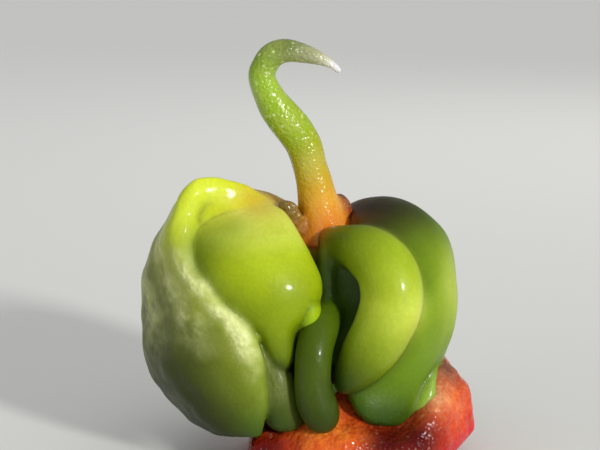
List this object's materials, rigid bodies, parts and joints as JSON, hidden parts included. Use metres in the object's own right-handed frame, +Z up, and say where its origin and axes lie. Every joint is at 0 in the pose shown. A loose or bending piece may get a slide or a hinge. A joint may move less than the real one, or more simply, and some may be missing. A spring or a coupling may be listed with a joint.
{
  "type": "chilli pepper growth",
  "caption": "Growth from inside a chilli pepper: green lobes folded round one another with a hooked horn on top, standing on a cut piece of red flesh.",
  "frame": {"origin": "middle of the flat spot under the flesh, at table height", "axes": "+Z up along the growth, -Y to the front where the lobes open, +X to the right seen from the front"},
  "size_m": [0.0213, 0.0152, 0.0272],
  "materials": {
    "horn": "moist smooth skin, orange at the foot, yellow-green above and nearly white at the tip",
    "lobes": "moist waxy skin in yellow-greens, paler on rims and darker in folds",
    "flesh": "wet cut pepper flesh, orange-red with pale tissue on top and red skin below"
  },
  "bodies": {
    "root": {"horn": "horn", "green_lobes": "lobes", "pepper_flesh": "flesh"}
  },
  "joints": []
}
